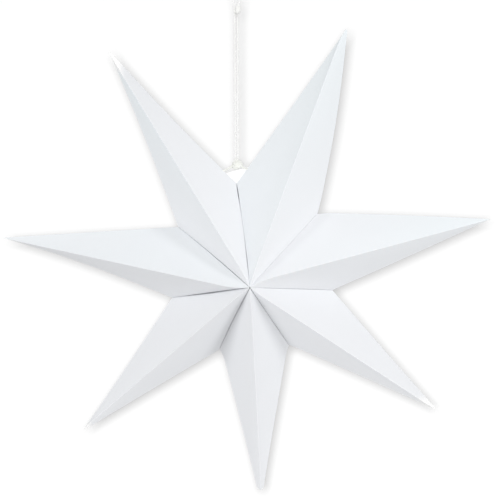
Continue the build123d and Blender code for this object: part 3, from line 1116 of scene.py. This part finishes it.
def wall_material(stage, centre, lamp_place):
    """A white wall that camera rays see from the front only, and that fades out round the star. Its
    paint grows paler with the fourth power of the way to the lamp, so the lamp lights it evenly."""
    material, tree = new_material("white_wall")
    tree.nodes.clear()
    where = tree.nodes.new("ShaderNodeTexCoord").outputs["Object"]

    def away_from(place):
        return tree.vector("DISTANCE", where, place, "Value")

    def smooth(value, low, high):
        node = tree.nodes.new("ShaderNodeMapRange")
        node.interpolation_type = "SMOOTHSTEP"
        node.inputs["From Min"].default_value = low
        node.inputs["From Max"].default_value = high
        tree.feed(node.inputs["Value"], value)
        return node.outputs["Result"]

    from_centre = away_from((centre[0], stage.wall_depth, centre[2]))
    fade = smooth(from_centre, stage.wall_radius, stage.wall_radius * 0.88)
    seen = tree.nodes.new("ShaderNodeLightPath").outputs["Is Camera Ray"]
    behind = tree.nodes.new("ShaderNodeNewGeometry").outputs["Backfacing"]
    front = tree.math("SUBTRACT", 1.0, behind)
    shown = tree.math("MULTIPLY", tree.math("MULTIPLY", fade, front), seen)
    stretch = tree.math("DIVIDE", away_from(tuple(lamp_place)), stage.wall_depth - lamp_place[1])
    grain = tree.weighted(tree.noise(where, 300.0, 2.0), 0.04, None, 0.98)
    tone = tree.math("MULTIPLY", tree.math("POWER", stretch, 4.0), grain)
    tone = tree.math("MULTIPLY", tone, WALL_PAINT)
    paint = tree.nodes.new("ShaderNodeBsdfDiffuse")
    tree.feed(paint.inputs["Color"], tree.mix(tone, (0.0, 0.0, 0.0), (1.0, 1.0, 1.0)))

    # The patch of wall seen through the opening under the notch knot glows brighter: painted light, so that
    # no shadow shows there.
    height = tree.vector("DOT_PRODUCT", where, OPENING_SLOPE, "Value")
    under = smooth(tree.math("SUBTRACT", height, OPENING_HEIGHT), 0.0009, -0.0006)
    opening = (OPENING_CENTRE[0], stage.wall_depth, OPENING_CENTRE[1])
    painted_light_patch = tree.math("MULTIPLY", under, smooth(away_from(opening), *OPENING_RADII))
    glow = tree.nodes.new("ShaderNodeEmission")
    tree.feed(glow.inputs["Strength"], tree.weighted(painted_light_patch, 0.35, None, WALL_GLOW))
    both = tree.nodes.new("ShaderNodeAddShader")
    tree.feed(both.inputs[0], paint.outputs[0])
    tree.feed(both.inputs[1], glow.outputs[0])
    blend = tree.nodes.new("ShaderNodeMixShader")
    tree.feed(blend.inputs[0], shown)
    tree.feed(blend.inputs[1], tree.nodes.new("ShaderNodeBsdfTransparent").outputs[0])
    tree.feed(blend.inputs[2], both.outputs[0])
    end = tree.nodes.new("ShaderNodeOutputMaterial")
    tree.feed(end.inputs["Surface"], blend.outputs[0])
    return material


# Stage


def look_at(place, target):
    """The turn that points an object's own -Z from its place to the target, with Y upward."""
    return (Vector(target) - Vector(place)).to_track_quat("-Z", "Y").to_euler()


def add_lamp(name, kind, place, target, energy, size):
    """A white lamp; its size is a disk's diameter in metres or the sun's angle in radians."""
    light = bpy.data.lights.new(name, kind)
    light.energy = energy
    if kind == "AREA":
        light.shape = "DISK"
        light.size = size
    else:
        light.angle = size
    lamp = bpy.data.objects.new(name, light)
    lamp.location = place
    lamp.rotation_euler = look_at(place, target)
    bpy.context.scene.collection.objects.link(lamp)
    return lamp


class STAR_OT_stage(bpy.types.Operator):
    """Set up the camera, the wall behind the star and the soft light"""

    bl_idname = "card_star.stage"
    bl_label = "Camera, wall and light"

    def execute(self, context):
        scene = context.scene
        stage = scene.star_stage
        centre = np.array(scene.star_card.centre)
        camera_data = bpy.data.cameras.new("camera")
        camera_data.lens = stage.lens
        camera_data.sensor_width = 36
        camera_data.clip_start = 0.01
        camera = bpy.data.objects.new("camera", camera_data)
        camera.location = stage.camera_place
        camera.rotation_euler = look_at(stage.camera_place, stage.camera_target)
        scene.collection.objects.link(camera)
        scene.camera = camera
        scene.view_settings.view_transform = "Standard"

        world = bpy.data.worlds.new("room")
        scene.world = world
        world.use_nodes = True
        tree = Tree(world.node_tree)
        background = tree.nodes["Background"]
        background.inputs["Color"].default_value = (1.0, 1.0, 1.0, 1.0)
        path = tree.nodes.new("ShaderNodeLightPath").outputs
        seen = tree.math("MAXIMUM", path["Is Camera Ray"], path["Is Glossy Ray"])
        strength = tree.weighted(seen, 1.0 - stage.ambient, None, stage.ambient)
        tree.feed(background.inputs["Strength"], strength)

        side = stage.wall_radius * 1.05
        spots = np.array([[-side, -side], [side, -side], [side, side], [-side, side]])
        points = np.insert(spots + centre[[0, 2]], 1, stage.wall_depth, axis=1)
        beside = np.array(stage.camera_place) + HALO_OFFSET
        paint = wall_material(stage, centre, beside)
        wall = make_object("wall", points, np.array([[0, 1, 2, 3]]), {}, spots, paint)
        unlit = bpy.data.collections.new("all_but_wall")
        unlit.objects.link(wall)
        unlit.collection_objects[0].light_linking.link_state = "EXCLUDE"

        # Each sun: where it shines from, its strength and its spread in degrees.
        lamps = [
            ("front_light", (0.16, -0.93, 0.33), stage.front, 10),
            ("right_light", (0.80, -0.60, 0.0), stage.right, 60),
            ("left_light", (-0.80, -0.60, 0.0), stage.left, 60),
            ("back_light", (0.25, 0.90, 0.36), stage.back, 40),
        ]
        for name, direction, strength, spread in lamps:
            place = centre + np.array(direction)
            sun = add_lamp(name, "SUN", tuple(place), centre, strength, math.radians(spread))
            sun.light_linking.receiver_collection = unlit
        ahead = tuple(beside + DEEP)
        halo = add_lamp("wall_lamp", "AREA", tuple(beside), ahead, stage.halo, stage.halo_size)
        lit = bpy.data.collections.new("wall_only")
        lit.objects.link(wall)
        halo.light_linking.receiver_collection = lit
        return {"FINISHED"}


class STAR_OT_cord(bpy.types.Operator):
    """Build the twisted cotton cord and the knots tied in it"""

    bl_idname = "card_star.cord"
    bl_label = "Cord and knots"

    def execute(self, context):
        cord = context.scene.star_cord
        yarn = cord_material(cord)
        even, run = even_steps(route_line(), CORD_STEP)
        fullness = CORD_FULLNESS - PULLED_THINNER * ramp(even[:, 2], -0.100, -0.060)
        points, faces, valley, uv = twisted_yarns(even, run, DEEP, cord, fullness)

        # Greyed below the notch knot, partly a greyer cotton and partly painted shade on the strings there.
        # Painted shade between the strands toward the loop, and a painted shadow under its knot.
        aside, height = np.abs(points[:, 0]), points[:, 2]
        handled_and_shaded = ramp(height, -0.158, -0.162)
        strand_gap_shade = ramp(aside, 0.0010, 0.0005) * ramp(height, -0.085, -0.055)
        knot_foot_shadow = ramp(np.abs(height + 0.0338), 0.0028, 0.0014) * (points[:, 0] > -0.0012)
        in_front = ramp(aside, 0.0021, 0.0017) * ramp(aside, 0.0004, 0.0008)
        out = (1 - YARN_SHADE * valley * in_front) * (1 - np.maximum(strand_gap_shade, knot_foot_shadow))
        tags = {"out": out, "handled_and_shaded": handled_and_shaded}
        strands = make_object("cotton_cord", points, faces, tags, uv, yarn)
        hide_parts("hanging_cord")
        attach(strands, "root")

        # Each knot: its node, middle, width and height, and which way it leans.
        stopper = cord.stopper_width
        notch = (cord.notch_knot_centre, cord.notch_knot_width, cord.notch_knot_height)
        loop = (cord.loop_knot_centre, cord.loop_knot_width, cord.loop_knot_height)
        sizes = [
            ("notch_knot", *notch, 1.0),
            ("loop_knot", *loop, -0.6),
            ("stopper_knot_left", even[0], stopper, stopper, 0.0),
            ("stopper_knot_right", even[-1], stopper, stopper, 0.0),
        ]
        for node, *size in sizes:
            points, faces, out, uv = tied_knot(cord, *size)
            greyed = 1.0
            if node == "loop_knot":
                # Cleaner, but with painted shade along the left strand and a painted shadow at its foot.
                greyed = 0.3
                out = out * ramp(np.abs(points[:, 0] + 0.0008), 0.0006, 0.0011)
                out = out * ramp(points[:, 2], -0.0330, -0.0314)
            tags = {"out": out, "handled_and_shaded": np.full(len(points), greyed)}
            knot = make_object(node + "_tied", points, faces, tags, uv, yarn)
            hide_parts(node)
            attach(knot, "root")
        return {"FINISHED"}


class STAR_OT_points(bpy.types.Operator):
    """Build the seven folded card points"""

    bl_idname = "card_star.points"
    bl_label = "Folded points"

    def execute(self, context):
        card = context.scene.star_card
        white = card_material(card)
        for index in range(COUNT):
            piece = folded_point(card, index, white)
            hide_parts(POINTS[index][0])
            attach(piece, "root")
        return {"FINISHED"}


class STAR_PT_panel(bpy.types.Panel):
    """Sizes, colours and build steps of the star"""

    bl_idname = "STAR_PT_panel"
    bl_label = "Card Star"
    bl_space_type = "VIEW_3D"
    bl_region_type = "UI"
    bl_category = "Card Star"

    def draw(self, context):
        layout = self.layout
        for group in (context.scene.star_card, context.scene.star_cord, context.scene.star_stage):
            box = layout.box()
            for label in group.__annotations__:
                box.prop(group, label)
        for operator in (STAR_OT_stage, STAR_OT_cord, STAR_OT_points):
            layout.operator(operator.bl_idname)


CLASSES = (
    STAR_PG_card,
    STAR_PG_cord,
    STAR_PG_stage,
    STAR_OT_stage,
    STAR_OT_cord,
    STAR_OT_points,
    STAR_PT_panel,
)


def register():
    for kind in CLASSES:
        bpy.utils.register_class(kind)
    bpy.types.Scene.star_card = PointerProperty(type=STAR_PG_card)
    bpy.types.Scene.star_cord = PointerProperty(type=STAR_PG_cord)
    bpy.types.Scene.star_stage = PointerProperty(type=STAR_PG_stage)


def unregister():
    del bpy.types.Scene.star_card
    del bpy.types.Scene.star_cord
    del bpy.types.Scene.star_stage
    for kind in reversed(CLASSES):
        bpy.utils.unregister_class(kind)


def main():
    """Build everything in order."""
    register()
    fibre_group()
    near_group()
    bpy.ops.card_star.stage()
    bpy.ops.card_star.cord()
    bpy.ops.card_star.points()


if __name__ == "__main__":
    main()
